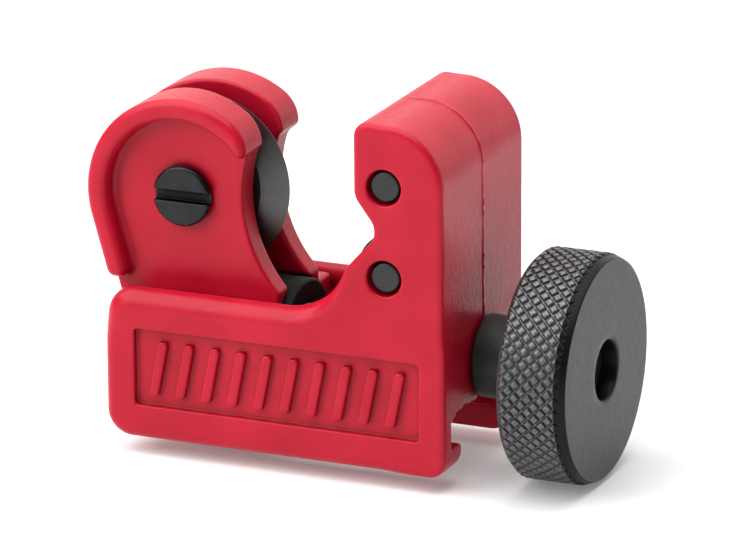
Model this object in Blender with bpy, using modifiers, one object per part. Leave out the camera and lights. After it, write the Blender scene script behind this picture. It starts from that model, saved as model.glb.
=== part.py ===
"""Compact screw-feed pipe cutter, built from named pieces.

Frame: +X runs along the tool from the cutter arm to the knob, +Y across it, +Z up.
The origin is the centre of the tool's base. Drawing dimensions are in millimetres,
measured from the body's left end, its middle plane and its bottom face.
"""
import bpy
import bmesh
from math import pi, sin, cos, tan, atan2, hypot, radians, sqrt

MM = 0.001

# ---- driving dimensions (mm) -------------------------------------------------
BODY_L = 35.3          # body length along X
BODY_T = 20.0          # body thickness along Y
BODY_TOP = 34.1        # tower height
WALL_TOP = 14.85       # height of the low front wall
WALL_TOP_BACK = 13.55  # height of the low back wall
WALL_IN = 8.0          # inner face of each side wall, from the middle plane
LIP_IN = 5.6           # inner edge of each bottom lip
LIP_TOP = 2.95         # top of the bottom lips
END_IN = 32.0          # inner face of the end wall
END_LOW = 5.9          # lower edge of the end wall
BOSS_R = 4.6           # round lug that carries the screw hole below that edge
POCKET_BACK = 33.3     # back of the roller pocket
POCKET_TOP = 32.1      # top of the roller pocket
EDGE_R = 0.75          # rounding of the body's outer edges
SWEEP_R = 7.0          # large arc from the low wall up into the tower
TOWER_X = 26.1         # left face of the tower's side walls
PANEL = (3.2, 32.7, 3.45, 11.1)   # recessed side panel: X from, X to, Z from, Z to
PANEL_D = 0.7          # depth of the panel
RIB_W = 1.0            # width of a raised grip rib
RIB_COUNT = 10

PIN_X = 29.2
PIN_Z = (19.12, 27.95)
PIN_R = 1.5
PIN_HOLE_R = 1.56
PIN_SINK_R = 1.75      # counterbore round each pin's end
PIN_SINK_D = 0.9
ROLLER_BORE = 1.6
PIN_HALF = 9.55
ROLLER_R = 3.7
ROLLER_HALF = 7.65

AXIS_Z = 9.5           # feed screw and knob axis
WHEEL_X, WHEEL_Z = 6.45, 23.4
WHEEL_R = 8.75
WHEEL_HALF = 0.9
WHEEL_FLAT_R = 6.1
WHEEL_BORE = 2.08
AXLE_R = 2.0
AXLE_HOLE = 2.08
HEAD_R = 2.98
HEAD_H = 1.0 
HEAD_SLOT = 1.1

HEAD_OUT_R = 9.68      # outer radius of the arm's head
RIM_IN_R = 7.65        # inner radius of the thumb rim
RIM_Y = 6.75           # face of the thumb rim, from the middle plane
WEB_Y = 4.8            # face of the arm's flat cheek
TIP_R = 3.6            # rounding at the head's upper right
CRADLE_R = 13.4
CRADLE_X, CRADLE_Z = 25.8, 23.75
LEG_ANGLE = 196.1      # where the head's outer arc runs into the straight back
TOE_Z = 14.6
TOE_X = 16.1
SLOT_R = 9.05          # clearance round the wheel inside the slot
SLOT_HALF_L, SLOT_HALF_R = 1.05, 2.15
FOOT = (-0.5, 16.1, 3.25, 13.2)    # foot: X from, X to, Z from, Z to
FOOT_Y = 7.7

NUT_R = 5.2
NUT_X = (10.6, 17.0)
NUT_BORE = 2.94
SCREW_R = 2.85
SCREW_X = (3.6, 46.2)
SCREW_END_R = 2.8
RING_X = (30.45, 31.05)
RING_R = 4.4
GROOVE_R = 2.2
WASHER_X = (31.3, 31.8)
WASHER_R = 4.6
WALL_HOLE = 2.94

COLLAR_X = (35.5, 40.55)
COLLAR_R = 4.0
KNOB_X = (40.8, 47.69)
KNOB_R = 11.06
KNOB_FACE_R = 10.65
KNOB_CONE = 1.15       # length of the plain tapered band beside the face
KNOB_HOLE = 2.91

BASE_Z = AXIS_Z - KNOB_R                                  # lowest point of the tool
MID_X = (WHEEL_X - HEAD_OUT_R + KNOB_X[1]) / 2.0          # middle of its length

# ---- start from an empty scene ----------------------------------------------
for ob in list(bpy.data.objects):
    bpy.data.objects.remove(ob, do_unlink=True)
scene = bpy.context.scene
parts = bpy.data.collections.new("pipe_cutter")
cutters = bpy.data.collections.new("pipe_cutter_cutters")
scene.collection.children.link(parts)
scene.collection.children.link(cutters)


def at(x, y, z):
    """Drawing position in millimetres to world metres."""
    return ((x - MID_X) * MM, y * MM, (z - BASE_Z) * MM)


# ---- outline helpers (mm, in the XZ or XY plane) -----------------------------
def arc(cx, cz, r, a0, a1, n):
    """Points on an arc from angle a0 to a1, in degrees, both ends included."""
    return [(cx + r * cos(radians(a0 + (a1 - a0) * i / n)),
             cz + r * sin(radians(a0 + (a1 - a0) * i / n))) for i in range(n + 1)]


def rounded(corners, step=12.0):
    """Closed outline from (x, z, radius) corners, each rounded by its radius."""
    out = []
    n = len(corners)
    for i in range(n):
        px, pz = corners[i - 1][0], corners[i - 1][1]
        x, z, r = corners[i]
        qx, qz = corners[(i + 1) % n][0], corners[(i + 1) % n][1]
        if r <= 0:
            out.append((x, z))
            continue
        ax, az = px - x, pz - z
        bx, bz = qx - x, qz - z
        la, lb = hypot(ax, az), hypot(bx, bz)
        ax, az, bx, bz = ax / la, az / la, bx / lb, bz / lb
        half = atan2(abs(ax * bz - az * bx), ax * bx + az * bz) / 2.0
        t = r / tan(half)
        sx, sz = x + ax * t, z + az * t
        ex, ez = x + bx * t, z + bz * t
        mx, mz = ax + bx, az + bz
        lm = hypot(mx, mz)
        cx, cz = x + mx / lm * r / sin(half), z + mz / lm * r / sin(half)
        a0 = atan2(sz - cz, sx - cx)
        a1 = atan2(ez - cz, ex - cx)
        d = (a1 - a0 + pi) % (2 * pi) - pi
        k = max(2, int(abs(d) * 180 / pi / step + 0.5))
        for j in range(k + 1):
            a = a0 + d * j / k
            out.append((cx + r * cos(a), cz + r * sin(a)))
    return out


def clean(points):
    """Drop points that lie too close to the one before them."""
    out = []
    for p in points:
        if not out or hypot(p[0] - out[-1][0], p[1] - out[-1][1]) > 0.12:
            out.append(p)
    if hypot(out[0][0] - out[-1][0], out[0][1] - out[-1][1]) < 0.12:
        out.pop()
    return out


# ---- object helpers ----------------------------------------------------------
def face_out(bm):
    """Point every face outwards."""
    bmesh.ops.recalc_face_normals(bm, faces=bm.faces)
    if bm.calc_volume(signed=True) < 0:
        bmesh.ops.reverse_faces(bm, faces=bm.faces)


def mesh_object(name, mesh, collection):
    ob = bpy.data.objects.new(name, mesh)
    collection.objects.link(ob)
    return ob


def prism(name, points, lo, hi, across="Y", edge=0.0, segments=2):
    """Filled outline pushed along Y, or along Z for an XY outline, its rims rounded by edge."""
    curve = bpy.data.curves.new(name + "_outline", "CURVE")
    curve.dimensions = "2D"
    curve.fill_mode = "BOTH"
    curve.extrude = ((hi - lo) / 2.0 - edge) * MM
    curve.bevel_depth = edge * MM
    curve.bevel_resolution = segments
    curve.offset = -edge * MM
    loop = clean(points)
    spline = curve.splines.new("POLY")
    spline.points.add(len(loop) - 1)
    for p, (a, b) in zip(spline.points, loop):
        if across == "Y":
            p.co = ((a - MID_X) * MM, (b - BASE_Z) * MM, 0, 1)
        else:
            p.co = ((a - MID_X) * MM, b * MM, 0, 1)
    spline.use_cyclic_u = True
    tmp = bpy.data.objects.new(name + "_tmp", curve)
    scene.collection.objects.link(tmp)
    bpy.context.view_layer.update()
    mesh = bpy.data.meshes.new_from_object(tmp.evaluated_get(bpy.context.evaluated_depsgraph_get()))
    bpy.data.objects.remove(tmp, do_unlink=True)
    bm = bmesh.new()
    bm.from_mesh(mesh)
    bmesh.ops.remove_doubles(bm, verts=bm.verts, dist=1e-6)
    mid = (lo + hi) / 2.0
    for v in bm.verts:
        x, y, z = v.co
        v.co = (x, mid * MM - z, y) if across == "Y" else (x, y, z + (mid - BASE_Z) * MM)
    bmesh.ops.dissolve_limit(bm, angle_limit=0.001, verts=bm.verts, edges=bm.edges)
    face_out(bm)
    bm.to_mesh(mesh)
    bm.free()
    mesh.name = name
    return mesh_object(name, mesh, cutters)


def block(name, x0, x1, y0, y1, z0, z1):
    mesh = bpy.data.meshes.new(name)
    bm = bmesh.new()
    bmesh.ops.create_cube(bm, size=1.0)
    a, b = at(x0, y0, z0), at(x1, y1, z1)
    for v in bm.verts:
        v.co = tuple(a[i] if v.co[i] < 0 else b[i] for i in range(3))
    bm.to_mesh(mesh)
    bm.free()
    return mesh_object(name, mesh, cutters)


def turned(name, profile, centre, along, steps=48):
    """Round piece from (radius, height) points, running top to bottom, turned about its axis.

    The object's origin is the given centre on the axis, and heights are measured from it."""
    mesh = bpy.data.meshes.new(name)
    verts = [(max(r, 0.0) * MM, 0.0, h * MM) for r, h in profile]
    closed = profile[0] != profile[-1] and profile[0][0] > 0 and profile[-1][0] > 0
    edges = [(i, i + 1) for i in range(len(verts) - 1)]
    if closed:
        edges.append((len(verts) - 1, 0))
    mesh.from_pydata(verts, edges, [])
    ob = mesh_object(name, mesh, cutters)
    ob.location = at(*centre)
    if along == "X":
        ob.rotation_euler = (0.0, pi / 2, 0.0)
    elif along == "Y":
        ob.rotation_euler = (-pi / 2, 0.0, 0.0)
    m = ob.modifiers.new("turn", "SCREW")
    m.axis = "Z"
    m.steps = m.render_steps = steps
    m.use_merge_vertices = True
    m.merge_threshold = 0.000001
    m.use_normal_calculate = True
    return bake(ob)


def bake(ob):
    """Turn the modifier stack into plain mesh, keeping the object's origin."""
    bpy.context.view_layer.update()
    mesh = bpy.data.meshes.new_from_object(ob.evaluated_get(bpy.context.evaluated_depsgraph_get()))
    old = ob.data
    ob.modifiers.clear()
    ob.data = mesh
    mesh.name = ob.name
    if old.users == 0:
        bpy.data.meshes.remove(old)
    bm = bmesh.new()
    bm.from_mesh(mesh)
    bmesh.ops.remove_doubles(bm, verts=bm.verts, dist=1e-7)
    face_out(bm)
    bm.to_mesh(mesh)
    bm.free()
    return ob


def cut(ob, tool, operation="DIFFERENCE", solver="EXACT"):
    m = ob.modifiers.new(operation.lower() + "_" + tool.name, "BOOLEAN")
    m.operation = operation
    m.solver = solver
    m.object = tool
    tool.hide_render = True
    tool.display_type = "WIRE"
    return bake(ob)


def bevel(ob, width, segments=3, angle=35.0):
    """Round the sharp edges of a plain block."""
    m = ob.modifiers.new("round", "BEVEL")
    m.width = width * MM
    m.segments = segments
    m.limit_method = "ANGLE"
    m.angle_limit = radians(angle)
    m.use_clamp_overlap = False
    return m


def material(name, colour, metallic, roughness):
    mat = bpy.data.materials.new(name)
    mat.use_nodes = True
    s = mat.node_tree.nodes["Principled BSDF"]
    s.inputs["Base Color"].default_value = colour + (1.0,)
    s.inputs["Metallic"].default_value = metallic
    s.inputs["Roughness"].default_value = roughness
    return mat


def finish(ob, mat, origin=None, smooth=30.0):
    """Bake, move into the part collection, set the origin, the material and the shading."""
    bake(ob)
    for c in list(ob.users_collection):
        c.objects.unlink(ob)
    parts.objects.link(ob)
    ob.hide_render = False
    ob.display_type = "TEXTURED"
    ob.data.transform(ob.matrix_basis)
    ob.matrix_basis.identity()
    ob.location = (0, 0, 0)
    ob.rotation_euler = (0, 0, 0)
    if origin is not None:
        o = at(*origin)
        for v in ob.data.vertices:
            v.co = (v.co[0] - o[0], v.co[1] - o[1], v.co[2] - o[2])
        ob.location = o
    ob.data.materials.clear()
    ob.data.materials.append(mat)
    bm = bmesh.new()
    bm.from_mesh(ob.data)
    lim = radians(smooth)
    for f in bm.faces:
        f.smooth = True
    for e in bm.edges:
        e.smooth = not (len(e.link_faces) == 2 and e.calc_face_angle(0.0) > lim)
    bm.to_mesh(ob.data)
    bm.free()
    bpy.context.view_layer.update()
    return ob


# ---- body casting ------------------------------------------------------------
# The big sweep from the low wall into the tower, then the lower pin's bump, the
# notch between the two pins, the upper pin's bump and the tower's straight face.
sweep_cx, sweep_cz = 18.5, WALL_TOP + SWEEP_R
sweep = arc(sweep_cx, sweep_cz, SWEEP_R, -22.0, -90.0, 9)
body_outline = rounded([
    (0.0, 0.0, 3.4), (BODY_L, 0.0, 1.7), (BODY_L, BODY_TOP, 6.0), (TOWER_X, BODY_TOP, 1.5),
    (TOWER_X, 26.81, 2.0), (28.45, 23.34, 1.87), (25.11, 19.53, 1.7), (sweep[0][0], sweep[0][1], 0.0),
] + [(x, z, 0.0) for x, z in sweep[1:]] + [(0.0, WALL_TOP, 2.9)])
body = prism("body_casting", body_outline, -BODY_T / 2, BODY_T / 2, "Y", EDGE_R)
# The back wall is lower than the front one, and meets the tower in the same sweep.
lower = prism("cut_back_wall", [(-3.0, WALL_TOP_BACK)]
              + arc(sweep_cx, WALL_TOP_BACK + SWEEP_R, SWEEP_R, -90.0, -22.0, 9)
              + [(sweep[0][0] - 0.1, sweep[0][1]), (20.0, 32.0), (-3.0, 32.0)], 1.0, BODY_T / 2 + 2.0)
cut(body, lower, "DIFFERENCE", "MANIFOLD")

hollow = prism("cut_hollow", rounded([
    (-2.0, LIP_TOP, 0.0), (END_IN, LIP_TOP, 0.0), (END_IN, 15.0, 0.6), (POCKET_BACK, 15.0, 0.0),
    (POCKET_BACK, POCKET_TOP, 4.0), (10.0, POCKET_TOP, 0.0), (10.0, 40.0, 0.0), (-2.0, 40.0, 0.0)]),
    -WALL_IN, WALL_IN)
cut(body, hollow, "DIFFERENCE", "MANIFOLD")
gap = block("cut_bottom", -2.0, BODY_L + 2.0, -LIP_IN, LIP_IN, -2.0, LIP_TOP + 0.5)
cut(body, gap, "DIFFERENCE", "MANIFOLD")
under = prism("cut_end_opening", [(END_IN - 1.0, LIP_TOP), (BODY_L + 2.0, LIP_TOP),
                                  (BODY_L + 2.0, END_LOW), (END_IN - 1.0, END_LOW)],
              -WALL_IN, WALL_IN)
cut(body, under, "DIFFERENCE", "MANIFOLD")
boss = turned("end_boss", [(0, BODY_L - END_IN - 1.25), (BOSS_R, BODY_L - END_IN - 1.25),
                           (BOSS_R, 0.0), (0, 0.0)], (END_IN, 0, AXIS_Z), "X", 48)
cut(body, boss, "UNION", "MANIFOLD")
screw_hole = turned("cut_screw_hole", [(0, 4.0), (WALL_HOLE, 4.0), (WALL_HOLE, -4.0), (0, -4.0)],
                    ((END_IN + BODY_L) / 2, 0, AXIS_Z), "X", 32)
cut(body, screw_hole, "DIFFERENCE", "MANIFOLD")
for k, pz in enumerate(PIN_Z):
    sink = BODY_T / 2 - PIN_SINK_D
    hole = turned("cut_pin_%d" % (k + 1),
                  [(0, 12.0), (PIN_SINK_R, 12.0), (PIN_SINK_R, sink), (PIN_HOLE_R, sink),
                   (PIN_HOLE_R, -sink), (PIN_SINK_R, -sink), (PIN_SINK_R, -12.0), (0, -12.0)],
                  (PIN_X, 0, pz), "Y", 28)
    cut(body, hole, "DIFFERENCE", "MANIFOLD")
px0, px1, pz0, pz1 = PANEL
for k, side in enumerate((-1, 1)):
    y_out = side * (BODY_T / 2 + 1.0)
    y_in = side * (BODY_T / 2 - PANEL_D)
    panel = prism("cut_panel_%d" % (k + 1),
                  rounded([(px0, pz0, 0.45), (px1, pz0, 0.45), (px1, pz1, 0.45), (px0, pz1, 0.45)], 30.0),
                  min(y_out, y_in), max(y_out, y_in))
    cut(body, panel, "DIFFERENCE", "MANIFOLD")
bake(body)
# Slanted grip ribs stand in each panel, level with the wall's face.
rib_span = (px1 - px0 - 5.0) / (RIB_COUNT - 1)
for side in (-1, 1):
    for i in range(RIB_COUNT):
        cx = px0 + 2.5 + rib_span * i
        z0, z1, lean = pz0 + 1.1, pz1 - 1.1, 0.55
        y_a = side * (BODY_T / 2 - PANEL_D - 0.4)
        y_b = side * (BODY_T / 2 - 0.02)
        rib = prism("rib_%d_%d" % (side + 1, i),
                    rounded([(cx - lean - RIB_W / 2, z0, 0.35), (cx - lean + RIB_W / 2, z0, 0.35),
                             (cx + lean + RIB_W / 2, z1, 0.35), (cx + lean - RIB_W / 2, z1, 0.35)], 45.0),
                    min(y_a, y_b), max(y_a, y_b))
        cut(body, rib, "UNION", "MANIFOLD")
body = finish(body, material("red_lacquer_body", (0.62, 0.012, 0.03), 0.0, 0.35))

# ---- cutter arm casting ------------------------------------------------------
def tangent(r, deg):
    return WHEEL_X + r * cos(radians(deg)), WHEEL_Z + r * sin(radians(deg))


leg_dir = (sin(radians(LEG_ANGLE - 180.0)), -cos(radians(LEG_ANGLE - 180.0)))


def down_leg(r, z):
    """Point at height z on the straight back that leaves radius r at the leg angle."""
    x0, z0 = tangent(r, LEG_ANGLE)
    t = (z - z0) / leg_dir[1]
    return x0 + leg_dir[0] * t, z


tip_x = TOWER_X - 16.25                                 # centre of the head's tip rounding
tip_ang = 180.0 / pi * atan2(sqrt((HEAD_OUT_R - TIP_R) ** 2 - (tip_x - WHEEL_X) ** 2), tip_x - WHEEL_X)
tip_z = WHEEL_Z + (HEAD_OUT_R - TIP_R) * sin(radians(tip_ang))
head_top = arc(WHEEL_X, WHEEL_Z, HEAD_OUT_R, LEG_ANGLE, tip_ang, 20)
head_tip = arc(tip_x, tip_z, TIP_R, tip_ang, 0.0, 6)
cradle_top = 180.0 - 180.0 / pi * atan2(28.0 - CRADLE_Z, sqrt(CRADLE_R ** 2 - (28.0 - CRADLE_Z) ** 2))
cradle_low = 180.0 + 180.0 / pi * atan2(CRADLE_Z - TOE_Z, sqrt(CRADLE_R ** 2 - (CRADLE_Z - TOE_Z) ** 2))
cradle = arc(CRADLE_X, CRADLE_Z, CRADLE_R, cradle_top, cradle_low, 14)
web_outline = ([down_leg(HEAD_OUT_R, 11.0)] + head_top + head_tip + cradle
               + [(TOE_X, TOE_Z - 0.4), (TOE_X, 11.0)])
arm = prism("arm_casting", web_outline, -WEB_Y, WEB_Y, "Y", 0.4, 1)

leg_z = 14.75
rim_end = rounded([(tip_x + TIP_R, 30.0, 0.0), (tip_x + TIP_R, 27.9, 0.5),
                   tangent(RIM_IN_R, 36.0) + (0.45,), tangent(RIM_IN_R, 44.0) + (0.0,)], 30.0)[1:-1]
rim_foot = rounded([down_leg(RIM_IN_R, 18.0) + (0.0,), down_leg(RIM_IN_R, leg_z) + (0.75,),
                    down_leg(HEAD_OUT_R, leg_z) + (0.9,), down_leg(HEAD_OUT_R, 18.0) + (0.0,)], 30.0)[1:-1]
rim_outline = (head_top + head_tip + rim_end
               + arc(WHEEL_X, WHEEL_Z, RIM_IN_R, 42.0, LEG_ANGLE, 18) + rim_foot)
rim = prism("arm_rim", rim_outline, -RIM_Y, RIM_Y, "Y", 0.45)
cut(arm, rim, "UNION")
foot = block("arm_foot", FOOT[0], FOOT[1], -FOOT_Y, FOOT_Y, FOOT[2], FOOT[3])
bevel(foot, 0.5, 2, 40.0)
bake(foot)
cut(arm, foot, "UNION")
bake(arm)

slot_side = prism("cut_slot", [(0.6, 42.0)] + arc(WHEEL_X, WHEEL_Z, SLOT_R,
                  180.0 - 180.0 / pi * atan2(sqrt(SLOT_R ** 2 - (WHEEL_X - 0.6) ** 2), WHEEL_X - 0.6),
                  270.0, 20) + [(22.0, WHEEL_Z - SLOT_R), (22.0, 42.0)], -4.0, 4.0)
slot_plan = prism("cut_slot_taper", [(-4.0, -SLOT_HALF_L), (0.0, -SLOT_HALF_L), (13.3, -SLOT_HALF_R),
                                     (24.0, -SLOT_HALF_R - 0.7), (24.0, SLOT_HALF_R + 0.7),
                                     (13.3, SLOT_HALF_R), (0.0, SLOT_HALF_L), (-4.0, SLOT_HALF_L)],
                  10.0, 45.0, "Z")
cut(slot_side, slot_plan, "INTERSECT")
bake(slot_side)
cut(arm, slot_side)
nut_seat = turned("cut_nut_seat", [(0, 5.0), (NUT_R + 0.2, 5.0), (NUT_R + 0.2, -5.0), (0, -5.0)],
                  (NUT_X[0] - 0.2 + 5.0, 0, AXIS_Z), "X", 48)
cut(arm, nut_seat)
screw_way = turned("cut_screw_way", [(0, 12.0), (WALL_HOLE, 12.0), (WALL_HOLE, -12.0), (0, -12.0)],
                   (8.0, 0, AXIS_Z), "X", 32)
cut(arm, screw_way)
axle_hole = turned("cut_axle", [(0, 12.0), (AXLE_HOLE, 12.0), (AXLE_HOLE, -12.0), (0, -12.0)],
                   (WHEEL_X, 0, WHEEL_Z), "Y", 32)
cut(arm, axle_hole)
arm = finish(arm, material("red_lacquer_arm", (0.60, 0.012, 0.03), 0.0, 0.35))

# ---- cutting wheel -----------------------------------------------------------
wheel = turned("cutting_wheel", [
    (WHEEL_BORE, WHEEL_HALF), (WHEEL_FLAT_R, WHEEL_HALF), (WHEEL_R, 0.04), (WHEEL_R, -0.04),
    (WHEEL_FLAT_R, -WHEEL_HALF), (WHEEL_BORE, -WHEEL_HALF)], (WHEEL_X, 0, WHEEL_Z), "Y", 80)
wheel = finish(wheel, material("black_oxide_wheel", (0.05, 0.055, 0.055), 0.9, 0.35),
               (WHEEL_X, 0, WHEEL_Z))

# ---- axle screw --------------------------------------------------------------
# Heights run along +Y from the wheel's middle plane; the slotted head is on the front.
head_lo = -(WEB_Y + 0.12)
head_hi = head_lo - HEAD_H
axle = turned("axle_screw", [
    (0, 6.0), (AXLE_R - 0.35, 6.0), (AXLE_R, 5.65), (AXLE_R, head_lo), (HEAD_R, head_lo),
    (HEAD_R, head_hi + 0.2), (HEAD_R - 0.2, head_hi), (0, head_hi)], (WHEEL_X, 0, WHEEL_Z), "Y", 40)
bake(axle)
head_slot = block("cut_head_slot", WHEEL_X - 5, WHEEL_X + 5, head_hi - 1.0, head_hi + 0.75,
                  WHEEL_Z - HEAD_SLOT / 2, WHEEL_Z + HEAD_SLOT / 2)
cut(axle, head_slot)
axle = finish(axle, material("black_oxide_axle", (0.05, 0.055, 0.055), 0.9, 0.35),
              (WHEEL_X, 0, WHEEL_Z))

# ---- rollers and their pins --------------------------------------------------
for label, pz in zip(("lower", "upper"), PIN_Z):
    roller = turned("roller_" + label, [
        (ROLLER_BORE, ROLLER_HALF), (ROLLER_R - 0.3, ROLLER_HALF), (ROLLER_R, ROLLER_HALF - 0.3),
        (ROLLER_R, -ROLLER_HALF + 0.3), (ROLLER_R - 0.3, -ROLLER_HALF), (ROLLER_BORE, -ROLLER_HALF)],
        (PIN_X, 0, pz), "Y", 40)
    finish(roller, material("roller_steel_" + label, (0.08, 0.08, 0.085), 0.9, 0.3), (PIN_X, 0, pz))
    pin = turned("roller_pin_" + label, [
        (0, PIN_HALF), (PIN_R - 0.25, PIN_HALF), (PIN_R, PIN_HALF - 0.25),
        (PIN_R, -PIN_HALF + 0.25), (PIN_R - 0.25, -PIN_HALF), (0, -PIN_HALF)],
        (PIN_X, 0, pz), "Y", 28)
    finish(pin, material("black_oxide_pin_" + label, (0.05, 0.055, 0.055), 0.9, 0.35), (PIN_X, 0, pz))


# ---- feed screw, nut, collar, knob, washer and ring ---------------------------
def along_x(name, profile, steps, mat):
    """Round piece on the feed axis from (radius, X) points, running from high X to low X."""
    ref = KNOB_X[0]
    ob = turned(name, [(r, x - ref) for r, x in profile], (ref, 0, AXIS_Z), "X", steps)
    return finish(ob, mat, (ref, 0, AXIS_Z))


along_x("feed_screw", [
    (0, SCREW_X[1]), (SCREW_END_R - 0.4, SCREW_X[1]), (SCREW_END_R, SCREW_X[1] - 0.4),
    (SCREW_END_R, KNOB_X[0] - 0.05), (SCREW_R, KNOB_X[0] - 0.05), (SCREW_R, RING_X[1] + 0.1),
    (GROOVE_R, RING_X[1] + 0.1), (GROOVE_R, RING_X[0] - 0.1), (SCREW_R, RING_X[0] - 0.1),
    (SCREW_R, SCREW_X[0] + 0.7), (SCREW_R - 0.7, SCREW_X[0]), (0, SCREW_X[0])], 36,
    material("black_oxide_screw", (0.05, 0.055, 0.055), 0.9, 0.35))
along_x("feed_nut", [
    (NUT_BORE, NUT_X[1]), (NUT_R - 0.3, NUT_X[1]), (NUT_R, NUT_X[1] - 0.3),
    (NUT_R, NUT_X[0] + 0.3), (NUT_R - 0.3, NUT_X[0]), (NUT_BORE, NUT_X[0])], 48,
    material("black_oxide_nut", (0.04, 0.045, 0.045), 0.9, 0.4))
along_x("collar", [
    (WALL_HOLE, COLLAR_X[1]), (COLLAR_R - 0.2, COLLAR_X[1]), (COLLAR_R, COLLAR_X[1] - 0.2),
    (COLLAR_R, COLLAR_X[0] + 0.2), (COLLAR_R - 0.2, COLLAR_X[0]), (WALL_HOLE, COLLAR_X[0])], 48,
    material("black_oxide_collar", (0.04, 0.05, 0.045), 0.9, 0.35))
along_x("thrust_washer", [
    (WALL_HOLE, WASHER_X[1]), (WASHER_R, WASHER_X[1]), (WASHER_R, WASHER_X[0]), (WALL_HOLE, WASHER_X[0])],
    40, material("washer_steel", (0.55, 0.55, 0.56), 0.95, 0.3))
along_x("knob", [
    (KNOB_HOLE + 0.25, KNOB_X[1]), (KNOB_FACE_R, KNOB_X[1]), (KNOB_R, KNOB_X[1] - KNOB_CONE),
    (KNOB_R, KNOB_X[0] + 0.57), (KNOB_R - 0.57, KNOB_X[0]), (KNOB_HOLE, KNOB_X[0]),
    (KNOB_HOLE, KNOB_X[1] - 0.25)], 72,
    material("black_oxide_knob", (0.06, 0.06, 0.065), 0.9, 0.4))

ring_in = GROOVE_R + 0.15
ring_outline = arc(0.0, 0.0, RING_R, -55.0, 235.0, 40) + arc(0.0, 0.0, ring_in, 235.0, -55.0, 32)
ring = prism("retaining_ring", [(x + MID_X, z + BASE_Z) for x, z in ring_outline],
             RING_X[0], RING_X[1])
# The ring's outline lies in the plane across the feed axis: turn it from XZ into YZ.
for v in ring.data.vertices:
    x, y, z = v.co
    v.co = (y - MID_X * MM, x, z + (AXIS_Z - BASE_Z) * MM)
bm = bmesh.new()
bm.from_mesh(ring.data)
face_out(bm)
bm.to_mesh(ring.data)
bm.free()
finish(ring, material("ring_spring_steel", (0.12, 0.12, 0.125), 0.9, 0.35), (KNOB_X[0], 0, AXIS_Z))

for ob in cutters.objects:
    ob.hide_render = True
    ob.display_type = "WIRE"
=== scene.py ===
"""Compact screw-feed pipe cutter: the detailed pieces, materials, light and camera."""

from math import pi, sin, cos, tan, atan2, hypot, radians, degrees, sqrt

import bpy
import numpy as np
from mathutils import Matrix, Vector


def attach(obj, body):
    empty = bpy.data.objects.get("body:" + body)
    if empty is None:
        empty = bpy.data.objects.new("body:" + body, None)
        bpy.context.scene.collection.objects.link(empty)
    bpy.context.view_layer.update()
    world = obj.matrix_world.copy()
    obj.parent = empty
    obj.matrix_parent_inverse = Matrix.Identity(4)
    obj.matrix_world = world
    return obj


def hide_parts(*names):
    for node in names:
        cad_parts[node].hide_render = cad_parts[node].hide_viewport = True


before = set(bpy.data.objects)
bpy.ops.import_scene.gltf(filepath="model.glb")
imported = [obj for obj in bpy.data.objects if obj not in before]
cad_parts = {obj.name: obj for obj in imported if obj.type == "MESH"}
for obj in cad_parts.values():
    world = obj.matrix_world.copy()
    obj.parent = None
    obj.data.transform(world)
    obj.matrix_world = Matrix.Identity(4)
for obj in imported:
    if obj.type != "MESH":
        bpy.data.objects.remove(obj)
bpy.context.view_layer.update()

# ---- drawing: millimetres from the body's left end, middle plane and bottom ----
MID_X, BASE_Z = 22.23, -1.56
BODY_L, BODY_T, BODY_TOP = 35.3, 20.0, 34.1
WALL_TOP, WALL_TOP_BACK, WALL_IN = 14.85, 13.55, 8.0
LIP_IN, LIP_TOP = 5.6, 2.95
END_IN, END_LOW, BOSS_R = 32.0, 5.9, 4.6
POCKET_BACK, POCKET_TOP = 33.3, 32.1
EDGE_R, SWEEP_R, TOWER_X = 1.1, 7.0, 26.1
PANEL, PANEL_D = (3.2, 32.7, 3.45, 11.1), 0.7
RIB_W, RIB_COUNT = 1.0, 10
PIN_X, PIN_Z = 29.2, (19.12, 27.95)
PIN_R, PIN_HALF = 1.5, 9.55
PIN_HOLE_R, PIN_SINK_R, PIN_SINK_D = 1.56, 1.75, 0.9
ROLLER_BORE, ROLLER_R, ROLLER_HALF = 1.6, 3.7, 7.65
AXIS_Z = 9.5
WHEEL_X, WHEEL_Z, WHEEL_R, WHEEL_HALF = 6.45, 23.4, 8.75, 0.9
WHEEL_FLAT_R, WHEEL_BORE = 6.1, 2.08
AXLE_R, AXLE_HOLE, HEAD_R, HEAD_H, HEAD_SLOT = 2.0, 2.08, 2.98, 1.0, 1.1
HEAD_OUT_R, RIM_IN_R, RIM_Y, WEB_Y, TIP_R = 9.68, 7.65, 6.75, 4.8, 3.6
CRADLE_R, CRADLE_X, CRADLE_Z = 13.4, 25.8, 23.75
LEG_ANGLE, TOE_X, TOE_Z = 196.1, 16.1, 14.6
SLOT_R, SLOT_HALF_L, SLOT_HALF_R = 9.05, 1.05, 2.15
FOOT, FOOT_Y = (0.15, 16.1, 3.25, 13.2), 7.7
NUT_R, NUT_X, NUT_BORE = 5.2, (10.6, 17.0), 2.94
SCREW_R, SCREW_X, SCREW_END_R = 2.85, (3.6, 46.2), 2.8
RING_X, RING_R, GROOVE_R = (30.45, 31.05), 4.4, 2.2
WASHER_X, WASHER_R, WALL_HOLE = (31.3, 31.8), 4.6, 2.94
COLLAR_X, COLLAR_R = (35.5, 40.55), 4.0
KNOB_X, KNOB_R, KNOB_FACE_R, KNOB_HOLE, KNOB_CONE = (40.8, 47.69), 11.06, 10.65, 2.91, 1.15
PITCH = 1.0                       # feed thread
KNURLS, KNURL_LEN = 54, 1.3       # diamonds round the knob, and their length along it
GRID = 0.115      # sampling of the cast shapes


# ---- outlines -----------------------------------------------------------------
def arc(cx, cz, r, a0, a1, n):
    return [(cx + r * cos(radians(a0 + (a1 - a0) * i / n)),
             cz + r * sin(radians(a0 + (a1 - a0) * i / n))) for i in range(n + 1)]


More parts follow.
